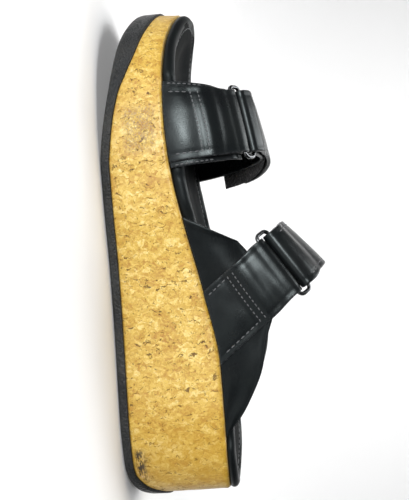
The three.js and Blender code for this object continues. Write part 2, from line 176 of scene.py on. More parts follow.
def lastPoint(x, z, hand):
    _, middle, half = station(shareAt(x), shoe["lastInset"])
    foot = corkTop(x) + shoe["footGap"]
    r = clamp((z - foot) / (ridgeOf(x) - foot))
    power = shoe["lastPower"]
    full = (1 - r ** power) ** (1 / power)
    return Vector((x, mix(shoe["ridgeSide"], middle + hand * half, full), z))


def lastNormal(x, z, hand):
    d = 0.5
    along = lastPoint(x + d, z, hand) - lastPoint(x - d, z, hand)
    up = lastPoint(x, z + d, hand) - lastPoint(x, z - d, hand)
    return (along.cross(up) * -hand).normalized()


def linked(name, data):
    made = bpy.data.objects.new(name, data)
    bpy.context.scene.collection.objects.link(made)
    return made


def newObject(name, mesh, replaces=(), materials=()):
    piece = linked(name, mesh)
    for material in materials:
        mesh.materials.append(material)
    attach(piece, "root")
    if replaces:
        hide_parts(*replaces)
    return piece


def finishMesh(bm, name, smooth=True):
    mesh = bpy.data.meshes.new(name)
    for face in bm.faces:
        face.smooth = smooth
    bm.to_mesh(mesh)
    bm.free()
    return mesh


def subdivided(piece, levels):
    skin = piece.modifiers.new("subdivision", "SUBSURF")
    skin.levels = skin.render_levels = levels
    return piece


class Graph:
    def __init__(self, tree):
        self.tree = tree

    def node(self, kind, inputs=None, **settings):
        made = self.tree.nodes.new(kind)
        for key, value in settings.items():
            setattr(made, key, value)
        self.fill(made, inputs or {})
        return made

    def feed(self, socket, value):
        if isinstance(value, bpy.types.NodeSocket):
            self.tree.links.new(value, socket)
        elif isinstance(value, bpy.types.Node):
            self.tree.links.new(value.outputs[0], socket)
        else:
            socket.default_value = value

    def fill(self, shader, values):
        for key, value in values.items():
            self.feed(shader.inputs[key], value)

    def math(self, operation, a, b, clamped=False):
        return self.node("ShaderNodeMath", {0: a, 1: b}, operation=operation, use_clamp=clamped).outputs[0]

    def times(self, a, b, clamped=False):
        return self.math("MULTIPLY", a, b, clamped)

    def plus(self, a, b, clamped=False):
        return self.math("ADD", a, b, clamped)

    def noise(self, vector, scale, detail=3.0, rough=0.55):
        made = self.node("ShaderNodeTexNoise", {
            "Vector": vector, "Scale": scale, "Detail": detail, "Roughness": rough})
        return made.outputs["Fac"]

    def ramp(self, value, *stops):
        made = self.node("ShaderNodeValToRGB", {"Fac": value})
        points = made.color_ramp.elements
        while len(points) < len(stops):
            points.new(0.5)
        for point, (place, colour) in zip(points, stops):
            point.position = place
            point.color = (*colour, 1) if isinstance(colour, tuple) else (colour, colour, colour, 1)
        return made.outputs["Color"]

    def blend(self, factor, a, b):
        a, b = ((*v, 1) if isinstance(v, tuple) else v for v in (a, b))
        return self.node("ShaderNodeMix", {0: factor, 6: a, 7: b}, data_type="RGBA").outputs[2]

    def scaled(self, vector, scale):
        return self.node("ShaderNodeMapping", {"Vector": vector, "Scale": scale}).outputs[0]

    def group(self, tree, inputs):
        return self.node("ShaderNodeGroup", inputs, node_tree=tree).outputs


def makeGroup(name, inputs, outputs, build):
    tree = bpy.data.node_groups.new(name, "ShaderNodeTree")
    for label, kind, value in inputs:
        socket = tree.interface.new_socket(name=label, in_out="INPUT", socket_type=kind)
        if value is not None:
            socket.default_value = value
    for label, kind in outputs:
        tree.interface.new_socket(name=label, in_out="OUTPUT", socket_type=kind)
    graph = Graph(tree)
    entry = tree.nodes.new("NodeGroupInput")
    leave = tree.nodes.new("NodeGroupOutput")
    build(graph, entry.outputs, leave.inputs)
    return tree


def buildGrain(graph, given, out):
    # leather and rubber grain: pebbles with finer pores between them
    pebbles = graph.node("ShaderNodeTexVoronoi", {"Vector": given["Vector"], "Scale": given["Scale"]},
                         feature="SMOOTH_F1")
    finer = graph.noise(given["Vector"], graph.times(given["Scale"], 2.3), 4)
    height = graph.plus(graph.times(pebbles.outputs["Distance"], 0.6), graph.times(finer, 0.5))
    graph.feed(out["Height"], graph.times(height, given["Depth"]))
    graph.feed(out["Pores"], graph.ramp(pebbles.outputs["Distance"], (0.35, 0.0), (0.8, 1.0)))


def buildDust(graph, given, out):
    # a broken film of dust, thicker where the large noise gathers it
    large = graph.noise(given["Vector"], 0.035, 3, 0.6)
    small = graph.noise(given["Vector"], 0.9, 4, 0.65)
    both = graph.plus(graph.times(large, 0.65), graph.times(small, 0.35))
    mask = graph.times(graph.ramp(both, (0.42, 0.0), (0.68, 1.0)), given["Amount"], True)
    graph.feed(out["Mask"], mask)
    graph.feed(out["Color"], graph.blend(mask, given["Color"], given["Dust"]))


def buildRub(graph, given, out):
    # wear along an edge, broken by noise
    broken = graph.noise(given["Vector"], 0.6, 4, 0.7)
    near = graph.times(given["Edge"], graph.ramp(broken, (0.38, 0.0), (0.62, 1.0)))
    graph.feed(out["Mask"], graph.times(near, given["Amount"], True))


numberSocket, colourSocket = "NodeSocketFloat", "NodeSocketColor"
spotInput = ("Vector", "NodeSocketVector", None)
grainGroup = makeGroup("grain", [spotInput, ("Scale", numberSocket, 1.2), ("Depth", numberSocket, 1.0)],
                       [("Height", numberSocket), ("Pores", numberSocket)], buildGrain)
dustGroup = makeGroup("dust", [spotInput, ("Color", colourSocket, None), ("Dust", colourSocket, None),
                               ("Amount", numberSocket, 0.2)],
                      [("Color", colourSocket), ("Mask", numberSocket)], buildDust)
rubGroup = makeGroup("edge rub", [spotInput, ("Edge", numberSocket, 0.0), ("Amount", numberSocket, 0.5)],
                     [("Mask", numberSocket)], buildRub)


def startMaterial(name):
    material = bpy.data.materials.new(name)
    material.use_nodes = True
    graph = Graph(material.node_tree)
    shader = material.node_tree.nodes["Principled BSDF"]
    spot = graph.node("ShaderNodeTexCoord").outputs["Object"]
    return material, graph, shader, graph.scaled(spot, (1000, 1000, 1000))


def attribute(graph, name):
    return graph.node("ShaderNodeAttribute", attribute_name=name).outputs["Fac"]


def rubbed(graph, place, base, worn, amount):
    given = {"Vector": place, "Edge": attribute(graph, "rim"), "Amount": amount}
    return graph.blend(graph.group(rubGroup, given)["Mask"], base, worn)


def dusted(graph, place, base, dust, amount):
    return graph.group(dustGroup, {"Vector": place, "Color": base, "Dust": dust, "Amount": amount})


def addBump(graph, shader, height, strength, distance):
    made = graph.node("ShaderNodeBump", {"Height": height, "Strength": strength, "Distance": distance * mm})
    graph.feed(shader.inputs["Normal"], made.outputs["Normal"])


leatherLook = {
    "colour": (0.0035, 0.0042, 0.005),
    "sheen": (0.005, 0.0064, 0.0068),  # painted sheen: a lighter, cooler colour that stands in for the leather's highlights
    "worn": (0.085, 0.088, 0.092),
    "rough": (0.2, 0.36),
    "dust": (0.2, 0.19, 0.17, 1),
    "grain": 1.7,
    "tint": (0.87, 0.99, 1.0, 1.0),
}


def makeLeather(name, grain=1.0, dull=0.0, gloss=0.22, wear=0.35, dust=0.02):
    material, graph, shader, place = startMaterial(name)
    look = leatherLook
    cloud = graph.ramp(graph.noise(place, 0.06, 4, 0.6), (0.35, 0.0), (0.7, 1.0))
    # the painted sheen is blended into the base colour in random clouds
    base = rubbed(graph, place, graph.blend(cloud, look["colour"], look["sheen"]), look["worn"], wear)
    film = dusted(graph, place, base, look["dust"], dust)
    low, high = look["rough"]
    streaks = graph.noise(graph.scaled(place, (0.4, 1, 1)), 0.12, 4, 0.55)
    rough = graph.plus(graph.times(streaks, high - low), low + dull)
    graph.fill(shader, {"Base Color": film["Color"],
                        "Roughness": graph.plus(rough, graph.times(film["Mask"], 0.3), True),
                        "Specular IOR Level": gloss, "Specular Tint": look["tint"]})
    pebble = graph.group(grainGroup, {"Vector": place, "Scale": look["grain"], "Depth": 0.5 * grain})
    creases = graph.noise(graph.scaled(place, (0.25, 0.5, 0.25)), 0.35, 3, 0.5)
    height = graph.plus(pebble["Height"], graph.times(creases, 0.5))
    addBump(graph, shader, height, 0.4, 0.16)
    return material


liningLook = {"deep": (0.012, 0.0125, 0.014), "fleck": (0.035, 0.036, 0.038), "rough": 0.78}


def makeLining():
    material, graph, shader, place = startMaterial("strapLining")
    weave = graph.node("ShaderNodeTexWave", {"Vector": place, "Scale": 1.3, "Distortion": 1.5, "Detail": 2.0},
                       bands_direction="Z")
    fleck = graph.noise(place, 2.2, 3, 0.6)
    graph.fill(shader, {"Base Color": graph.blend(fleck, liningLook["deep"], liningLook["fleck"]),
                        "Roughness": liningLook["rough"]})
    addBump(graph, shader, graph.plus(weave.outputs["Fac"], fleck), 0.3, 0.1)
    return material


rubberLook = {
    "colour": (0.007, 0.008, 0.0085),
    "grey": (0.02, 0.022, 0.024),
    "worn": (0.05, 0.052, 0.052),
    "dust": (0.17, 0.16, 0.14, 1),
    "gloss": 0.28,
}


def makeRubber():
    material, graph, shader, place = startMaterial("outsoleRubber")
    look = rubberLook
    cloud = graph.ramp(graph.noise(place, 0.08, 5, 0.65), (0.3, 0.0), (0.75, 1.0))
    base = rubbed(graph, place, graph.blend(cloud, look["colour"], look["grey"]), look["worn"], 0.5)
    pebble = graph.group(grainGroup, {"Vector": place, "Scale": 0.85, "Depth": 1.0})
    graph.fill(shader, {"Base Color": dusted(graph, place, base, look["dust"], 0.12)["Color"],
                        "Roughness": graph.ramp(pebble["Pores"], (0.0, 0.36), (1.0, 0.6)),
                        "Specular IOR Level": look["gloss"]})
    addBump(graph, shader, pebble["Height"], 1.0, 0.7)
    return material


corkLook = {
    "body": (0.52, 0.325, 0.048),
    "light": (0.64, 0.44, 0.09),
    "pale": (0.8, 0.64, 0.26),
    "deep": (0.4, 0.2, 0.025),
    "orange": (0.4, 0.215, 0.005),
    "crack": (0.07, 0.03, 0.012),
    "grey": (0.3, 0.21, 0.15),
    "glue": (0.36, 0.3, 0.22),
    "tornDark": (0.025, 0.014, 0.008),
    "tornPale": (0.5, 0.4, 0.26),
    "varnish": 0.12,
}


def makeCork():
    material, graph, shader, place = startMaterial("corkWrap")
    look = corkLook
    wobble = graph.node("ShaderNodeTexNoise", {"Vector": place, "Scale": 0.25, "Detail": 3.0})
    shrunk = graph.scaled(place, (0.01, 0.01, 0.01))
    bent = graph.node("ShaderNodeMix", {0: 0.06, 4: shrunk, 5: wobble.outputs["Color"]},
                      data_type="VECTOR")
    warped = graph.scaled(bent.outputs[1], (100, 100, 100))
    long = graph.scaled(warped, (1.0, 1.0, 0.62))  # granules lie up and down the wall
    tones = []
    for channel, scale in enumerate((0.17, 0.52, 1.15)):  # large, middling and fine granules
        cells = graph.node("ShaderNodeTexVoronoi", {"Vector": long, "Scale": scale, "Randomness": 1.0})
        split = graph.node("ShaderNodeSeparateColor", {"Color": cells.outputs["Color"]})
        tones.append(split.outputs[channel])
    coarse = graph.plus(graph.times(tones[0], 0.42), graph.times(tones[1], 0.58))
    tone = graph.plus(graph.times(coarse, 0.64), graph.times(tones[2], 0.36))
    mottle = graph.noise(place, 0.9, 5, 0.7)
    mixed = graph.plus(graph.times(tone, 0.62), graph.times(mottle, 0.38))
    base = graph.ramp(mixed, (0.26, look["deep"]), (0.42, look["body"]), (0.58, look["light"]),
                      (0.8, look["pale"]))
    # granule borders, only here and there
    border = graph.node("ShaderNodeTexVoronoi", {"Vector": long, "Scale": 0.52}, feature="DISTANCE_TO_EDGE")
    line = graph.ramp(border.outputs["Distance"], (0.0, 1.0), (0.09, 0.0))
    patchy = graph.ramp(graph.noise(place, 0.35, 3, 0.6), (0.45, 0.0), (0.56, 1.0))
    bordered = graph.blend(graph.times(graph.times(line, patchy), 0.55), base, look["deep"])
    # short dark cracks and pits
    crackNoise = graph.noise(graph.scaled(warped, (1.25, 1.25, 0.45)), 0.52, 4, 0.66)
    cracks = graph.ramp(crackNoise, (0.6, 0.0), (0.645, 1.0))
    pits = graph.ramp(graph.noise(place, 1.3, 2, 0.5), (0.66, 0.0), (0.72, 1.0))
    darks = graph.math("MAXIMUM", cracks, graph.times(pits, 0.7))
    cracked = graph.blend(graph.times(darks, 0.85), bordered, look["crack"])
    # orange-brown towards both edges and at the heel
    nearTop = graph.ramp(attribute(graph, "fromTop"), (0.0, 0.7), (0.2, 0.0))
    nearFoot = graph.ramp(attribute(graph, "fromFoot"), (0.0, 0.6), (0.2, 0.0))
    edges = graph.math("MAXIMUM", nearTop, nearFoot)
    stain = graph.math("MAXIMUM", edges, attribute(graph, "heelward"))
    cloudy = graph.ramp(graph.noise(place, 0.12, 4, 0.6), (0.3, 0.45), (0.65, 1.0))
    warm = graph.blend(graph.times(graph.times(stain, cloudy, True), 0.62), cracked, look["orange"])
    # scuffs: greyed and rough, where the masks say
    speck = graph.ramp(graph.noise(place, 1.1, 5, 0.75), (0.44, 0.0), (0.62, 1.0))
    scuff = graph.times(attribute(graph, "scuff"), speck, True)
    scuffed = graph.blend(graph.times(scuff, 0.7), warm, look["grey"])
    torn = attribute(graph, "torn")
    rags = graph.noise(graph.scaled(place, (0.35, 0.35, 1.2)), 0.55, 5, 0.75)
    tornDark = graph.times(torn, graph.ramp(rags, (0.44, 0.0), (0.52, 1.0)), True)
    tornPale = graph.times(torn, graph.ramp(rags, (0.36, 1.0), (0.42, 0.0)), True)
    dark = graph.blend(tornDark, scuffed, look["tornDark"])
    ripped = graph.blend(tornPale, dark, look["tornPale"])
    # thin grey line of glue at both edges
    glueTop = graph.ramp(attribute(graph, "fromTop"), (0.0, 1.0), (0.02, 0.0))
    glueFoot = graph.ramp(attribute(graph, "fromFoot"), (0.0, 1.0), (0.018, 0.0))
    broken = graph.ramp(graph.noise(place, 0.5, 3, 0.6), (0.38, 0.0), (0.52, 1.0))
    glue = graph.times(graph.math("MAXIMUM", glueTop, glueFoot), broken)
    graph.fill(shader, {"Base Color": graph.blend(graph.times(glue, 0.45), ripped, look["glue"]),
                        "Roughness": graph.ramp(darks, (0.0, 0.42), (1.0, 0.8)),
                        "Coat Weight": look["varnish"], "Coat Roughness": 0.35})
    relief = graph.math("SUBTRACT", graph.times(mixed, 0.5), graph.times(darks, 1.2))
    rougher = graph.plus(relief, graph.times(scuff, 0.6))
    addBump(graph, shader, rougher, 0.6, 0.3)
    return material


metalLook = {"dark": (0.06, 0.063, 0.067), "bright": (0.16, 0.165, 0.17)}


def makeMetal():
    material, graph, shader, place = startMaterial("darkNickel")
    scratches = graph.noise(graph.scaled(place, (3, 3, 0.4)), 0.9, 4, 0.7)
    graph.fill(shader, {"Base Color": graph.blend(scratches, metalLook["dark"], metalLook["bright"]),
                        "Metallic": 1.0, "Roughness": graph.ramp(scratches, (0.3, 0.14), (0.75, 0.34))})
    addBump(graph, shader, scratches, 0.1, 0.05)
    return material


pileLook = {
    "deep": (0.009, 0.009, 0.01),
    "tips": (0.3, 0.3, 0.3),
    "thick": 0.85,
    "cell": 1.1,
    "up": 2.7,
    "inset": 3,  # in from the strap's edges
    "past": 10,  # beyond the tab's end
}


def makePile():
    material, graph, shader, place = startMaterial("loopPile")
    curls = graph.node("ShaderNodeTexVoronoi", {"Vector": place, "Scale": 1.15}).outputs["Distance"]
    clumps = graph.noise(place, 0.8, 4, 0.7)
    tips = graph.times(graph.ramp(curls, (0.1, 1.0), (0.32, 0.0)),
                       graph.ramp(clumps, (0.48, 0.0), (0.62, 1.0)))
    graph.fill(shader, {"Base Color": graph.blend(tips, pileLook["deep"], pileLook["tips"]),
                        "Roughness": 0.85, "Sheen Weight": 0.3})
    addBump(graph, shader, graph.math("SUBTRACT", clumps, curls), 0.9, 0.6)
    return material


threadLook = {
    "deep": (0.03, 0.032, 0.035),
    "light": (0.14, 0.144, 0.15),
    "radius": 0.4,
    "pitch": 3.0,
    "share": 0.72,  # of each pitch that is thread
    "bury": 0.02,
}


def makeThread():
    material, graph, shader, place = startMaterial("thread")
    twist = graph.node("ShaderNodeTexWave", {"Vector": place, "Scale": 2.4, "Distortion": 0.5},
                       bands_direction="DIAGONAL")
    tint = graph.blend(twist.outputs["Fac"], threadLook["deep"], threadLook["light"])
    graph.fill(shader, {"Base Color": tint, "Roughness": 0.5})
    addBump(graph, shader, twist.outputs["Fac"], 0.4, 0.08)
    return material


leather = makeLeather("strapLeather")
softLeather = makeLeather("quarterLeather", grain=0.8, gloss=0.12, wear=0.25)
rimLeather = makeLeather("rimLeather", grain=1.8, dull=0.12, gloss=0.12, wear=0.05)
bedLeather = makeLeather("footbedLeather", grain=1.0, dull=0.42, gloss=0.03, wear=0.05, dust=0.08)
lining = makeLining()
rubber = makeRubber()
cork = makeCork()
metal = makeMetal()
pile = makePile()
thread = makeThread()
print("materials made")


def carryLoop(bm, count, levels, pointAt):
    # a closed loop of points, carried from level to level; loops that meet are merged
    number = bm.verts.layers.int.new("number")
    edges = []
    for k, vert in enumerate(bmesh.ops.create_circle(bm, segments=count, radius=1)["verts"]):
        vert[number] = k
        vert.co = pointAt(levels[0], k)
        edges.extend(e for e in vert.link_edges if e not in edges)
    for level in levels[1:]:
        made = bmesh.ops.extrude_edge_only(bm, edges=edges)["geom"]
        for vert in (g for g in made if isinstance(g, bmesh.types.BMVert)):
            vert.co = pointAt(level, vert[number])
        edges = [g for g in made if isinstance(g, bmesh.types.BMEdge)
                 and all(v in made for v in g.verts) and len(g.link_faces) == 1]
    bmesh.ops.remove_doubles(bm, verts=bm.verts[:], dist=1e-6)
    bmesh.ops.recalc_face_normals(bm, faces=bm.faces[:])


around = 256  # points round the sole
skirt = 9.0  # this deep, loops still follow the outline; further in they run to the spine
toSpine = 1000


def soleSpot(k, depth):
    # a point of the plan at this depth from the cork's edge, or on the spine
    turn = 2 * math.pi * k / around
    s = (1 - math.cos(turn)) / 2
    hand = 1 if turn < math.pi else -1
    near = min(depth, skirt)
    x, middle, half = station(s, near)
    spot = Vector((x, middle + hand * half, 0))
    if depth > near:
        spineX = clamp(x, shoe["heelRadius"] + 4, shoe["length"] - shoe["ballRadius"] - 2)
        _, spineMiddle, _ = station(shareAt(spineX))
        spine = Vector((spineX, spineMiddle, 0))
        reach = (spine - spot).length
        spot = spot.lerp(spine, clamp((depth - near) / max(reach, 1e-6)) if depth < toSpine else 1.0)
    return s, hand, spot


def solePoint(level, k):
    # a level is a depth or a share of the way to the spine, and a height as a function
    kind, depth, height = level
    s, _, spot = soleSpot(k, depth if kind == "depth" else skirt)
    inward = depth
    if kind == "share":
        _, _, spine = soleSpot(k, toSpine)
        inward = skirt + (spine - spot).length * depth
        spot = spot.lerp(spine, depth)
    return toFrame((spot.x, spot.y, height(s, spot, inward)))


def loops(kind, height, *depths):
    return [(kind, depth, height) for depth in depths]


def rubberTop(s, inward):
    wall = 1 - ease((inward - 3) / 8)
    return bottomOf(s) + mix(shoe["rubber"], edgeOf(s), wall)


outsoleLook = {
    "grooves": (32, 46, 60, 150, 165, 180, 195),
    "grooveWide": 3.0,
    "grooveDeep": 1.6,
    "corner": 1.3,
}


def makeOutsole():
    look, lip = outsoleLook, -shoe["lip"]
    under = lambda up: lambda s, spot, inward: bottomOf(shareAt(spot.x) if inward > skirt else s) + up
    wall = lambda t: lambda s, spot, inward: bottomOf(s) + mix(look["corner"], edgeOf(s) - 0.5, t)
    top = lambda s, spot, inward: rubberTop(s, inward)
    levels = loops("share", under(0), 1.0, 0.75, 0.5, 0.25) + loops("depth", under(0), 9, 4, 1.2)
    levels += loops("depth", under(0.12), 0.1) + loops("depth", under(0.5), lip * 0.62)
    levels += loops("depth", under(0.95), lip * 0.92)
    levels += [("depth", lip, wall(t)) for t in (0, 0.2, 0.4, 0.6, 0.8, 1.0)]
    levels += loops("depth", lambda s, spot, inward: rubberTop(s, 0) - 0.12, lip * 0.75)
    levels += loops("depth", top, -0.3, 0.6, 2, 4, 6.5, 9) + loops("share", top, 0.3, 0.65, 1.0)
    bm = bmesh.new()
    carryLoop(bm, around, levels, solePoint)
    rim = bm.verts.layers.float.new("rim")
    for vert in bm.verts:
        s = shareAt(vert.co.x / mm - shift.x)
        z = vert.co.z / mm
        edge = max(bump(z, bottomOf(s) + 0.5, 1.6), bump(z, bottomOf(s) + edgeOf(s), 0.9))
        vert[rim] = edge if abs(vert.normal.z) < 0.95 else 0.0
        # the wall isn't quite even
        if abs(vert.normal.z) < 0.5:
            vert.co += vert.normal * noise.noise(vert.co / mm * 0.07) * 0.18 * mm
    piece = newObject("outsole", finishMesh(bm, "outsole"), ["outsole"], [rubber])
    cutters = bmesh.new()
    for x in look["grooves"]:
        _, middle, half = station(shareAt(x))
        size = (look["grooveWide"], half * 1.6, look["grooveDeep"] * 2)
        place = Matrix.Translation(toFrame((x, middle, bottomOf(shareAt(x)))))
        matrix = place @ Matrix.Diagonal((*[v * mm for v in size], 1))
        bmesh.ops.create_cube(cutters, size=1, matrix=matrix)
    tool = linked("grooves", finishMesh(cutters, "grooves", False))
    cut = piece.modifiers.new("grooves", "BOOLEAN")
    cut.operation, cut.object, cut.solver = "DIFFERENCE", tool, "EXACT"
    ready = piece.evaluated_get(bpy.context.evaluated_depsgraph_get())
    carved = bpy.data.meshes.new_from_object(ready)
    piece.modifiers.clear()
    piece.data = carved
    bpy.data.objects.remove(tool)
    return piece


corkScuffs = {
    "grey": {"x": (174, 202), "z": (11, 30)},
    "torn": {"x": (8, 30), "rise": (0.2, 7.5)},
    "heel": (12.0, 78.0),  # orange-brown fades out over this length
    "fade": 30.0,  # how far the marks of both edges are measured
}


def within(v, low, high, soft):
    return ease((v - low) / soft) * ease((high - v) / soft)


def makeMidsole():
    below = lambda s, spot, inward: rubberTop(s, inward) + 0.3
    wallAt = lambda t: lambda s, spot, inward: mix(rubberTop(s, 0) + 0.05, topOf(s), t)
    above = lambda s, spot, inward: topOf(shareAt(spot.x) if inward > skirt else s)
    taper = shoe["taper"]
    levels = loops("share", below, 1.0, 0.6, 0.25) + loops("depth", below, 9, 5, 2.5, 0.7)
    wall = [0, 0.02, 0.05] + [0.1 + 0.85 * i / 22 for i in range(23)] + [0.975]
    levels += [("depth", taper * t + (0.25 if t in (0, 0.975) else 0.0), wallAt(t)) for t in wall]
    levels += loops("depth", above, taper + 0.9, 3, 9) + loops("share", above, 0.3, 0.65, 1.0)
    bm = bmesh.new()
    carryLoop(bm, around * 2, levels, lambda level, k: solePoint(level, k / 2))
    names = ("fromTop", "fromFoot", "heelward", "scuff", "torn")
    marks = {name: bm.verts.layers.float.new(name) for name in names}
    grey, torn, fade = corkScuffs["grey"], corkScuffs["torn"], corkScuffs["fade"]
    heelStart, heelEnd = corkScuffs["heel"]
    for vert in bm.verts:
        x, y, z = vert.co.x / mm - shift.x, vert.co.y / mm - shift.y, vert.co.z / mm
        s = shareAt(x)
        foot = bottomOf(s) + edgeOf(s)
        outer = 1.0 if y > 0 else 0.0
        vert[marks["fromTop"]] = clamp((topOf(s) - z) / fade)
        vert[marks["fromFoot"]] = clamp((z - foot) / fade)
        vert[marks["heelward"]] = 1 - ease((x - heelStart) / (heelEnd - heelStart))
        vert[marks["scuff"]] = outer * within(x, *grey["x"], 6) * within(z, *grey["z"], 4)
        vert[marks["torn"]] = outer * within(x, *torn["x"], 5) * within(z - foot, *torn["rise"], 2.5)
        if abs(vert.normal.z) < 0.6:
            spot = Vector((x, y, z))
            uneven = noise.noise(spot * 0.16) * 0.16 + noise.noise(spot * 0.5) * 0.09
            rip = vert[marks["torn"]] * (0.35 + 0.65 * abs(noise.noise(spot * 0.9)))
            vert.co += vert.normal * (uneven - 0.9 * rip) * mm
    return newObject("midsole", finishMesh(bm, "midsole"), ["midsole"], [cork])


footbedLook = {
    "free": 1.1,  # roll's inset where nothing passes beside it
    "held": 3.6,  # under the straps and quarters
    "roll": ((3.0, 0.3), (1.3, 0.35), (0.35, 1.1), (0.0, 2.4), (0.15, 3.9), (0.8, 5.3), (1.9, 6.3),
             (3.2, 6.75), (4.5, 6.7), (5.6, 6.2), (6.4, 5.6), (7.0, 5.05), (7.5, 4.85), (8.1, 5.0),
             (9.0, 5.05)),
    "squeeze": 0.92,  # the roll's width against its section above
    "start": 5.05,  # bed's height beside the roll
    "middle": 3.2,
    "slope": 22.0,
    "arch": 2.2,
    "heel": -0.7,
    "toes": 0.9,
    "covered": ((27, 149), (163, 214)),
    "stitch": 7.35,
}


def rollRise(x):
    # lower at the heel and over the toe
    return mix(0.68, 1.0, ease((x - 30) / 60)) * mix(1.0, 0.8, ease((x - 205) / 30))


def rollInset(x):
    # the roll draws in beside the straps and quarters
    covered = max(within(x, low, high, 4.0) for low, high in footbedLook["covered"])
    return mix(footbedLook["free"], footbedLook["held"], covered)


def rollSpot(k, depth):
    inset = rollInset(soleSpot(k, 3.0)[2].x)
    return *soleSpot(k, inset + depth * footbedLook["squeeze"]), inset


def bedHeight(x, y, inward):
    # the dished foot bed, above the cork
    look = footbedLook
    sunk = mix(look["start"], look["middle"], ease((inward - 12) / look["slope"]))
    arch = look["arch"] * bump(x, 108, 46) * ease((-y - 6) / 24)
    heel = look["heel"] * bump(x, 45, 40) * ease((inward - 14) / 16)
    toes = look["toes"] * bump(x, 196, 22) * ease((inward - 14) / 14)
    return sunk + (arch + heel + toes) * ease((inward - 12) / 10)


def makeFootbed():
    roll = footbedLook["roll"]

    def rollPoint(level, k):
        kind, share = level
        if kind == "roll":
            depth, up = roll[share]
            s, hand, spot, _ = rollSpot(k, depth)
            puff = 1 + 0.035 * math.sin(spot.x * 0.11 + hand) + 0.05 * noise.noise(spot * 0.06)
            return toFrame((spot.x, spot.y, topOf(s) + up * puff * rollRise(spot.x)))
        s, _, spot, inset = rollSpot(k, roll[-1][0])
        _, _, spine = soleSpot(k, toSpine)
        inward = inset + 8.3 + (spine - spot).length * share
        spot = spot.lerp(spine, share)
        t = shareAt(spot.x) if share > 0.5 else mix(s, shareAt(spot.x), ease(share * 2))
        up = bedHeight(spot.x, spot.y, inward) * rollRise(spot.x) if kind == "top" else 0.3
        return toFrame((spot.x, spot.y, topOf(t) + up))

    levels = [("under", q) for q in (1.0, 0.5, 0.0)] + [("roll", i) for i in range(len(roll))]
    levels += [("top", q) for q in (0.06, 0.13, 0.2, 0.28, 0.37, 0.47, 0.58, 0.7, 0.85, 1.0)]
    bm = bmesh.new()
    carryLoop(bm, around, levels, rollPoint)
    bm.verts.layers.float.new("rim")
    for face in bm.faces:
        middle = face.calc_center_median()
        x, y = middle.x / mm - shift.x, middle.y / mm - shift.y
        _, centre, half = station(shareAt(x))
        inward = (1 - abs(y - centre) / max(half, 1)) * half
        deep = min(inward, x, shoe["length"] - x) > rollInset(x) + 7.2
        face.material_index = int(deep and face.normal.z > 0.5)
    leathers = [rimLeather, bedLeather]
    piece = newObject("footbed", finishMesh(bm, "footbed"), ["footbed"], leathers)
    return subdivided(piece, 1)


makeOutsole()
makeMidsole()
makeFootbed()
print("soles made")


# where the two straps cross the last, and how their rings and tabs sit
strapPlans = {
    "front": {
        "front": {"outer": 208.5, "crest": 205.5, "inner": 206.0},
        "rear": {"outer": 170.5, "crest": 175.0, "inner": 169.0},
        "ring": 55, "tab": 0.68, "swing": 10.0, "lift": 0.0, "floor": 1.65,
    },
    "instep": {
        "front": {"outer": 106.5, "crest": 136.0, "inner": 107.5},
        "rear": {"outer": 69.0, "crest": 112.5, "inner": 70.5},
        "ring": 52, "tab": 0.7, "swing": 0.0, "lift": shoe["quarter"] + shoe["plyGap"], "floor": 0.0,
    },
}


def archPoint(edge, deg):
    hand = 1 if deg <= 90 else -1
    base = edge["outer"] if hand > 0 else edge["inner"]
    rise = math.sin(math.radians(deg))
    x = mix(base, edge["crest"], rise)
    return lastPoint(x, mix(corkTop(base) + shoe["footGap"], ridgeOf(edge["crest"]), rise), hand)


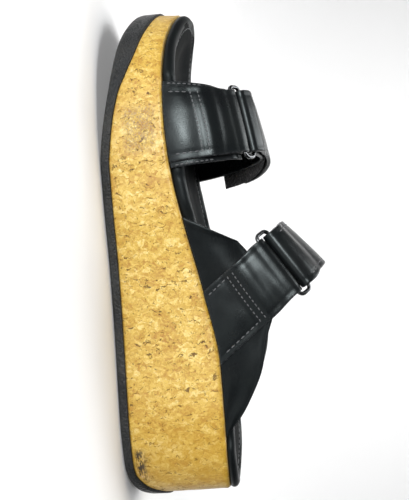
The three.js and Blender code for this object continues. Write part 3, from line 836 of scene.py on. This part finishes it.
class StrapSurface:
    # the face of the last that a strap follows, from the outer sole (0 degrees) to the inner (180)
    def __init__(self, strap):
        self.strap, self.low, self.step = strap, -0.16, 0.04
        front, rear = strap["front"], strap["rear"]
        shares = [self.low + self.step * i for i in range(34)]
        self.points = []
        for share in shares:
            edge = {key: mix(front[key], rear[key], share) for key in front}
            line = []
            for deg in range(181):
                hold = max(ease((strap["ring"] - 8 - deg) / 18), ease((deg - 110) / 40))
                free = archPoint(front, deg).lerp(archPoint(rear, deg), share)
                line.append(free.lerp(archPoint(edge, deg), hold))
            self.points.append(line)
        last = len(shares) - 1
        self.normals, self.runs = [], []
        for i, line in enumerate(self.points):
            run = [0.0]
            normals = []
            for j in range(181):
                if j:
                    run.append(run[-1] + (line[j] - line[j - 1]).length)
                a, b = max(j - 1, 0), min(j + 1, 180)
                over = self.points[min(i + 1, last)][j] - self.points[max(i - 1, 0)][j]
                normals.append(over.cross(line[b] - line[a]).normalized())
            self.normals.append(normals)
            self.runs.append(run)
        ring = strap["ring"]
        self.middle = self.spot(0.5, ring)
        across = self.spot(1.0, ring) - self.spot(0.0, ring)
        self.width = across.length
        self.across = across.normalized()
        self.normal = self.across.cross(self.spot(0.5, ring + 2) - self.spot(0.5, ring - 2)).normalized()
        self.along = self.normal.cross(self.across)

    def between(self, share):
        t = (share - self.low) / self.step
        i = min(max(int(t), 0), len(self.points) - 2)
        return i, t - i

    def spot(self, share, deg):
        i, q = self.between(share)
        return self.points[i][deg].lerp(self.points[i + 1][deg], q)

    def away(self, i, way, along):
        run, ring = self.runs[i], self.strap["ring"]
        return run[ring] + along + way * ((run[-1] - run[ring]) if way > 0 else run[ring])

    def place(self, share, way, along, up):
        first, q = self.between(share)
        spots, outs, offs = [], [], []
        for i in (first, first + 1):
            run, line, normals = self.runs[i], self.points[i], self.normals[i]
            distance = self.away(i, way, along)
            j = min(max(bisect_right(run, distance) - 1, 0), 179)
            t = (distance - run[j]) / (run[j + 1] - run[j])
            spots.append(line[j].lerp(line[j + 1], t))
            outs.append(normals[j].lerp(normals[j + 1], clamp(t)))
            offs.append(distance - run[self.strap["ring"]])
        rise = up + self.strap["lift"]
        off = mix(*offs, q)
        curved = spots[0].lerp(spots[1], q) + outs[0].lerp(outs[1], q).normalized() * rise
        over = (share - 0.5) * self.width
        flat = self.middle + self.across * over + self.along * off + self.normal * rise
        level = ease((shoe["ringBlend"] - abs(off)) / (shoe["ringBlend"] - shoe["ringFlat"]))
        return curved.lerp(flat, level)


class Path:
    # a strip's way over its strap surface, seen from the side. Each knot says which end of the strap it
    # goes by, its place along and above it, and how far its front and rear edges are drawn in
    def __init__(self, surface, knots):
        self.surface, self.knots = surface, knots
        middle = int(round((0.5 - surface.low) / surface.step))
        side = [(surface.away(middle, k[0], k[1]), k[2]) for k in knots]
        self.run, self.normals = [0.0], []
        for a, b in zip(side, side[1:]):
            self.run.append(self.run[-1] + math.dist(a, b))
        for i in range(len(side)):
            a, b = side[max(i - 1, 0)], side[min(i + 1, len(side) - 1)]
            size = math.dist(a, b)
            self.normals.append(((a[1] - b[1]) / size, (b[0] - a[0]) / size))
        self.length = self.run[-1]

    def at(self, s, across, h):
        # s along the strip, across from 0 at its front edge to 1, h off its middle
        i = min(max(bisect_right(self.run, s) - 1, 0), len(self.run) - 2)
        q = (s - self.run[i]) / (self.run[i + 1] - self.run[i])
        way, along, up, front, rear = (mix(a, b, q) for a, b in zip(self.knots[i], self.knots[i + 1]))
        side, rise = (mix(a, b, clamp(q)) for a, b in zip(self.normals[i], self.normals[i + 1]))
        width = self.surface.width
        share = mix(front / width, 1 - rear / width, across)
        return self.surface.place(share, way, along + side * h, up + rise * h)


def fillKnots(ends, counts):
    # more knots between these; edges not given aren't drawn in
    ends = [(*knot, 0, 0)[:5] for knot in ends]
    knots = [ends[0]]
    for a, b, count in zip(ends, ends[1:], counts):
        for i in range(1, count + 1):
            t = i / count
            shares = (t, t, ease(t), ease(t), ease(t))
            knots.append(tuple(mix(*v) for v in zip(a, b, shares)))
    return knots


def turnKnots(radius, start, end, count, hand):
    # round the ring's bar
    made = []
    for i in range(count + 1):
        angle = math.radians(mix(start, end, i / count))
        made.append((0, hand * (bar + radius * math.cos(angle)), ringUp + radius * math.sin(angle), 0, 0))
    return made


ringUp, bar = shoe["ringUp"], shoe["ringPitch"] / 2
bandLook = {
    "turn": 1.95,  # radius of the fold round the ring
    "up": 3.9,
    "returnUp": 2.25,
    "knots": (8, 14, 3),
    "seam": 3.0,  # stitches in from the edges
    "rows": (-7.0, -3.6),  # double row across, before the end of the return
}
strapLook = {
    "turn": 2.45,
    "lowUp": 1.1,
    "tabUp": 4.5,
    "knots": (14, 8),
    "turnKnots": 18,
    "seam": 3.0,
    "corner": 6.0,
}


def bandPath(surface):
    floor = surface.strap["floor"] + shoe["ply"] / 2
    fold, up, turn, back = shoe["bandReturn"], bandLook["up"], bandLook["turn"], bandLook["returnUp"]
    knots = fillKnots([(-1, 0, floor), (0, -fold - 8, floor), (0, 1 - fold, up), (0, -bar - 5, up)],
                      bandLook["knots"])
    knots += fillKnots([knots[-1], (0, -bar - 0.4, ringUp + turn)], (6,))[1:-1]
    knots += turnKnots(turn, 90, 270, 16, -1)
    knots += fillKnots([knots[-1], (0, -bar - 4, back), (0, 2 - fold, back)], (4, 4))[1:]
    return Path(surface, knots)


def strapPath(surface):
    tab, swing = surface.strap["tab"], surface.strap["swing"]
    low, up, turn = strapLook["lowUp"], strapLook["tabUp"], strapLook["turn"]
    knots = fillKnots([(1, 0, low), (0, bar + 14, low), (0, bar + 2, ringUp - turn)], strapLook["knots"])
    knots += turnKnots(turn, -90, -270, strapLook["turnKnots"], 1)
    knots += fillKnots([knots[-1], (0, bar + 13, up), (tab, -4, up, swing * 0.7, -swing * 0.7),
                        (tab, 0, up, swing, -swing)], (10, 10, 2))[1:]
    return Path(surface, knots)


def flatStrip(long, wide, thick, cell, corner=0.0):
    # a flat strip with rounded edges, with its size as UVs and its edges marked
    bm = bmesh.new()
    counts = (max(2, round(long / cell)), max(2, round(wide / cell)))
    bmesh.ops.create_grid(bm, x_segments=counts[0], y_segments=counts[1], size=0.5)
    for vert in bm.verts:
        s, w = (vert.co.x + 0.5) * long, (vert.co.y + 0.5) * wide
        edge = min(w, wide - w)
        if edge < corner:
            cut = corner - math.sqrt(corner * corner - (corner - edge) ** 2)
            reach = corner * 2.5
            s -= cut * clamp((s - long + reach) / reach)
        vert.co = (s, w, 0)
    bmesh.ops.solidify(bm, geom=bm.faces[:], thickness=thick)
    level = (max(v.co.z for v in bm.verts) + min(v.co.z for v in bm.verts)) / 2
    bmesh.ops.translate(bm, verts=bm.verts[:], vec=(0, 0, -level))
    bmesh.ops.remove_doubles(bm, verts=bm.verts[:], dist=1e-4)
    bmesh.ops.recalc_face_normals(bm, faces=bm.faces[:])
    bm.normal_update()
    sharp = [e for e in bm.edges if len(e.link_faces) == 2
             and abs(e.link_faces[0].normal.z - e.link_faces[1].normal.z) > 0.5]
    bmesh.ops.bevel(bm, geom=sharp, offset=thick * 0.36, offset_type="OFFSET", segments=3, profile=0.5,
                    affect="EDGES", material=-1)
    bm.normal_update()
    uv = bm.loops.layers.uv.new("pattern")
    rim = bm.verts.layers.float.new("rim")
    for face in bm.faces:
        face.material_index = 1 if face.normal.z < -0.7 else 0
        for loop in face.loops:
            loop[uv].uv = (loop.vert.co.x / 10, loop.vert.co.y / 10)
    for vert in bm.verts:
        s, w, h = vert.co
        near = min(w, wide - w, s, long - s)
        vert[rim] = (1 - ease(near / 1.1)) * ease((h + thick * 0.5) / (thick * 0.6))
    return bm


stitches = bmesh.new()
fromShoe = Matrix.Diagonal((mm, mm, mm, 1)) @ Matrix.Translation(shift)


def addStitch(start, end, out):
    along, radius = end - start, threadLook["radius"]
    axis = along.normalized()
    side = axis.cross(out).normalized()
    up = side.cross(axis)
    matrix = Matrix((side * radius, up * radius * 0.8, axis * (along.length / 2))).transposed().to_4x4()
    matrix.translation = (start + end) / 2
    bmesh.ops.create_uvsphere(stitches, u_segments=6, v_segments=5, radius=1, matrix=fromShoe @ matrix)


def sewLine(face, ends, pitch=threadLook["pitch"]):
    # stitches between two places of a face given as face(a, b, height)
    (a0, b0), (a1, b1) = ends
    place = lambda t, h: face(mix(a0, a1, t), mix(b0, b1, t), h)
    steps, share = 24, threadLook["share"]
    spots = [place(i / steps, 0) for i in range(steps + 1)]
    count = max(1, round(sum((q - p).length for p, q in zip(spots, spots[1:])) / pitch))
    for i in range(count):
        t0, t1 = (i + 0.5 - share / 2) / count, (i + 0.5 + share / 2) / count
        middle = (t0 + t1) / 2
        out = (place(middle, 1) - place(middle, 0)).normalized()
        addStitch(place(t0, -threadLook["bury"]), place(t1, -threadLook["bury"]), out)


def sewEdges(face, wide, seam, start, end, pitch=threadLook["pitch"]):
    for edge in (seam, wide - seam):
        sewLine(face, ((start, edge / wide), (end, edge / wide)), pitch)


def makeRibbon(name, path, thick, nodes, materials, shape, corner=0.0, cell=0.9):
    # a flat strip laid along its path, with its shape added off the surface
    wide = path.surface.width
    bm = flatStrip(path.length, wide, thick, cell, corner)
    for vert in bm.verts:
        s, w, h = vert.co
        vert.co = toFrame(path.at(s, w / wide, h + shape(s, w, h)))
    bmesh.ops.recalc_face_normals(bm, faces=bm.faces[:])
    return newObject(name, finishMesh(bm, name), nodes, materials)


def ribbonFace(path, thick, shape, side=1):
    wide = path.surface.width
    return lambda s, across, h: path.at(s, across, side * (h + thick / 2) + shape(s, across * wide, side))


def edgeShape(wide, crown, seam):
    # a little fuller in the middle, and pulled in along both stitch lines
    def shape(s, w, h):
        near = min(w, wide - w)
        swell = crown * ease(near / (wide * 0.35)) if h > 0 else 0.0
        return swell - 0.12 * bump(near, seam, 1.3)
    return shape


def bandShape(wide, foldAt):
    plain = edgeShape(wide, 0.35, bandLook["seam"])

    def shape(s, w, h):
        value = plain(s, w, h)
        # the double row across, and soft creases where the leather bends over its own return
        for row in bandLook["rows"]:
            value -= 0.12 * bump(s, foldAt + row, 1.4) * ease((min(w, wide - w) - 1.5) / 2)
        value += 0.3 * bump(s, foldAt + 2.5, 3.2)
        if h > 0:
            value += 0.75 * bump(s, foldAt + 9.5, 5.5)
        bend = 0.1 * math.sin(w * 0.31 + 1.1) * bump(s, foldAt - 16 + 0.12 * w, 6)
        sag = 0.12 * noise.noise(Vector((s * 0.06, w * 0.03, 3.1)))
        return value + bend + sag
    return shape


def makeBand(which, surface):
    path, wide, thin = bandPath(surface), surface.width, shoe["ply"]
    foldAt = path.run[sum(bandLook["knots"][:2])]
    shape = bandShape(wide, foldAt)
    makeRibbon(which + "Band", path, thin, [which + "_band"], [leather, lining], shape)
    face = ribbonFace(path, thin, shape)
    sewEdges(face, wide, bandLook["seam"], 3, foldAt - 8.2)
    for row in bandLook["rows"]:
        sewLine(face, ((foldAt + row, 2.2 / wide), (foldAt + row, 1 - 2.2 / wide)), pitch=2.3)


def makeStrap(which, surface):
    path, wide, thick = strapPath(surface), surface.width, shoe["strap"]
    turnAt = path.run[sum(strapLook["knots"]) + strapLook["turnKnots"] + 1]
    plain = edgeShape(wide, 0.3, strapLook["seam"])

    def worn(s, w, h):
        swell = 0.9 * bump(s, turnAt + 5, 7) if h > 0 else 0.0
        return plain(s, w, h) + swell + 0.15 * noise.noise(Vector((s * 0.06, w * 0.04, 9.4)))

    makeRibbon(which + "Strap", path, thick, [which + "_strap"], [leather, leather], worn,
               corner=strapLook["corner"])
    face, end = ribbonFace(path, thick, worn), path.length
    sewEdges(face, wide, strapLook["seam"], turnAt + 3, end - 5)
    sewLine(face, ((end - 3, 6 / wide), (end - 3, 1 - 6 / wide)))
    lowEnd = path.run[strapLook["knots"][0]]
    sewEdges(ribbonFace(path, thick, worn, -1), wide, strapLook["seam"], 2, lowEnd - 6)


def makeFrontLining(surface):
    edge, thin = -2.4, shoe["ply"]  # proud of the band's edges
    up = thin / 2
    path = Path(surface, fillKnots([(-1, 0, up, edge, edge), (0, -3, up, edge, edge)], (24,)))
    flat = lambda s, w, h: 0.0
    makeRibbon("frontLining", path, thin, ["front_lining"], [leather, lining], flat)
    sewEdges(ribbonFace(path, thin, flat), 1, 0.028, 2, path.length - 16, 2.6)


def makePileStrip(which, surface):
    # the pile under the tab, showing beyond its end on the inner side
    tab, lean = surface.strap["tab"], surface.strap["swing"]
    look, up, inset = pileLook, pileLook["up"], pileLook["inset"]
    knots = fillKnots([(0, bar + 16, up, inset, inset), (tab, 0, up, inset + lean, inset - lean),
                       (tab, look["past"], up, inset + lean, inset - lean)], (12, 6))
    tufts = lambda s, w, h: 0.3 * noise.noise(Vector((s, w, 0)) * 0.8) if h > 0 else 0.0
    makeRibbon(which + "Pile", Path(surface, knots), look["thick"], (), [pile, pile], tufts,
               cell=look["cell"])


def ringOutline(half, reach):
    # a rounded rectangle, with points along its sides between the corners
    corner = shoe["ringCorner"]
    arcs = []
    for turn, (x, y) in enumerate(((1, 1), (-1, 1), (-1, -1), (1, -1))):
        angles = [math.radians(90 * turn + 90 * i / 12) for i in range(13)]
        arcs.append([(x * (half - corner) + corner * math.cos(a), y * (reach - corner) + corner * math.sin(a))
                     for a in angles])
    outline = []
    for arc, following in zip(arcs, arcs[1:] + arcs[:1]):
        start, goal = arc[-1], following[0]
        steps = max(1, round(math.dist(start, goal) / 2))
        outline += arc + [(mix(start[0], goal[0], i / steps), mix(start[1], goal[1], i / steps))
                          for i in range(1, steps)]
    return outline


def makeRing(which, surface):
    rise = surface.normal * (ringUp + surface.strap["lift"])
    outline = ringOutline(surface.width / 2 + shoe["ringSpare"] + shoe["wire"], bar)
    spots = [surface.middle + surface.across * u + surface.along * v + rise for u, v in outline]

    def wirePoint(level, k):
        along = (spots[(level + 1) % len(spots)] - spots[level - 1]).normalized()
        side = along.cross(surface.normal).normalized()
        angle = 2 * math.pi * k / 14
        out = side * math.cos(angle) + surface.normal * math.sin(angle)
        return toFrame(spots[level % len(spots)] + out * shoe["wire"])

    bm = bmesh.new()
    carryLoop(bm, 14, list(range(len(spots) + 1)), wirePoint)
    newObject(which + "Ring", finishMesh(bm, which + "Ring"), [which + "_ring"], [metal])


for which, strap in strapPlans.items():
    surface = StrapSurface(strap)
    makeBand(which, surface)
    makeStrap(which, surface)
    if which == "front":
        makeFrontLining(surface)
    makePileStrip(which, surface)
    makeRing(which, surface)
print("straps made")


quarterPlans = {
    "outer": rows(
        "base x z",
        (33, 36.5, 55.7), (40, 44, 62), (48, 52, 66.7), (58, 66, 73), (70, 82, 76.5), (84, 95, 80.1),
        (100, 107, 79.5), (118, 118, 73.2), (132, 126.5, 67.4), (144, 130.5, 63.9),
    ),
    "inner": rows(
        "base x z",
        (34, 37, 55), (41, 43, 60.9), (49, 50.5, 66.7), (59, 62, 71.5), (71, 76, 75), (86, 92, 76.5),
        (103, 107, 74), (118, 117, 67.7), (130, 126, 60.4), (138, 132, 53.5), (144, 136.5, 46.5),
    ),
}

quarterLook = {"long": 112.0, "high": 40.0, "cell": 1.0, "slack": 0.5, "roll": 0.35}


def makeQuarter(which, hand):
    plan = [dict(row, i=i) for i, row in enumerate(quarterPlans[which])]
    baseAt, xAt, zAt = (smoothCurve(plan, "i", key) for key in ("base", "x", "z"))

    def place(p, q, h):
        i = p * (len(plan) - 1)
        base = baseAt(i)
        x = mix(base, xAt(i), q)
        z = max(mix(corkTop(base) + shoe["footGap"], zAt(i), q), corkTop(x) + shoe["footGap"])
        return lastPoint(x, z, hand) + lastNormal(x, z + 1, hand) * (h + shoe["quarter"] / 2)

    look = quarterLook
    long, high = look["long"], look["high"]
    bm = flatStrip(long, high, shoe["quarter"], look["cell"])
    for vert in bm.verts:
        s, w, h = vert.co
        roll = look["roll"] * bump(high - w, 1.8, 2.6) + 0.25 * bump(long - s, 2, 3)
        slack = look["slack"] * noise.noise(Vector((s * 0.05, w * 0.06, hand * 4.0)))
        slack *= ease((high - w) / 8) * ease(w / 8)
        vert.co = toFrame(place(clamp(s / long), clamp(w / high), h + roll + slack))
    bmesh.ops.recalc_face_normals(bm, faces=bm.faces[:])
    newObject(which + "Quarter", finishMesh(bm, which + "Quarter"),
              ["instep_quarter_" + which], [softLeather, softLeather])


makeQuarter("outer", 1)
makeQuarter("inner", -1)
print("quarters made")


def bedSeam(k, _, h):
    s, _, spot, _ = rollSpot(k, footbedLook["stitch"])
    return Vector((spot.x, spot.y, topOf(s) + 5.0 * rollRise(spot.x) + h))


for k in range(0, around, 4):
    sewLine(bedSeam, ((k, 0), (k + 4, 0)), pitch=3.2)
newObject("stitches", finishMesh(stitches, "stitches"), (), [thread])
print("stitches made")


roomLook = {
    "floor": (0.86, 0.86, 0.86, 1),
    "shade": (0.08, 0.08, 0.08),  # dim to the shoe, so that its black stays black
    "pale": (0.85, 0.85, 0.85),  # and pale to the eye
}
lightLook = {
    "key softbox": {"place": (0.3, 1.25, 0.3), "aim": (0, 0, 0.05), "size": (0.55, 0.2), "power": 17.5},
    "top softbox": {"place": (0.3, -0.1, 1.2), "aim": (0, 0, 0.05), "size": (0.7, 0.5), "power": 9},
    "floor light": {"place": (0.0, -1.2, 1.6), "aim": (0, -1.6, 0), "size": (1.6, 1.2), "power": 30},
}


def makeFloor():
    bm = bmesh.new()
    bend = [(-1.4 - math.sin(math.radians(a)), 1 - math.cos(math.radians(a))) for a in range(0, 91, 6)]
    sweep = [(3.0, 0.0)] + bend + [(-2.4, 4.0)]
    line = [bm.verts.new((-6.0, y, z)) for y, z in sweep]
    edges = [bm.edges.new(pair) for pair in zip(line, line[1:])]
    made = bmesh.ops.extrude_edge_only(bm, edges=edges)["geom"]
    bmesh.ops.translate(bm, verts=[g for g in made if isinstance(g, bmesh.types.BMVert)], vec=(12.0, 0, 0))
    bmesh.ops.recalc_face_normals(bm, faces=bm.faces[:])
    paper = bpy.data.materials.new("paleFloor")
    paper.use_nodes = True
    shader = paper.node_tree.nodes["Principled BSDF"]
    shader.inputs["Base Color"].default_value = roomLook["floor"]
    shader.inputs["Roughness"].default_value = 0.8
    floor = linked("floor", finishMesh(bm, "floor"))
    floor.data.materials.append(paper)


def addLight(name, place, aim, size, power):
    lamp = bpy.data.lights.new(name, "AREA")
    lamp.shape, lamp.size, lamp.size_y = "RECTANGLE", *size
    lamp.energy = power
    holder = linked(name, lamp)
    holder.location = place
    holder.rotation_euler = (Vector(aim) - Vector(place)).to_track_quat("-Z", "Y").to_euler()


def makeLights():
    for name, look in lightLook.items():
        addLight(name, **look)
    world = bpy.data.worlds.new("pale room")
    world.use_nodes = True
    graph = Graph(world.node_tree)
    seen = graph.node("ShaderNodeLightPath").outputs["Is Camera Ray"]
    graph.feed(world.node_tree.nodes["Background"].inputs["Color"],
               graph.blend(seen, roomLook["shade"], roomLook["pale"]))
    bpy.context.scene.world = world
    bpy.context.scene.view_settings.view_transform = "Standard"


cameraLook = {
    "place": (115.3, 427.4, 89.1),
    "toward": (0.0293, -0.9942, -0.1036),
    "up": (0.999, 0.032, 0.016),  # the toe points up in the picture
    "roll": 2.6,
    "lens": 57.24,
}


def makeCamera():
    lens = bpy.data.cameras.new("camera")
    lens.lens, lens.sensor_width = cameraLook["lens"], 36
    holder = linked("camera", lens)
    back = -Vector(cameraLook["toward"]).normalized()
    right = Vector(cameraLook["up"]).cross(back).normalized()
    up = back.cross(right)
    turned = Matrix((right, up, back)).transposed().to_4x4() @ Matrix.Rotation(
        math.radians(-cameraLook["roll"]), 4, "Z")
    turned.translation = toFrame(cameraLook["place"])
    holder.matrix_world = turned
    bpy.context.scene.camera = holder


makeFloor()
makeLights()
makeCamera()
print("scene ready")
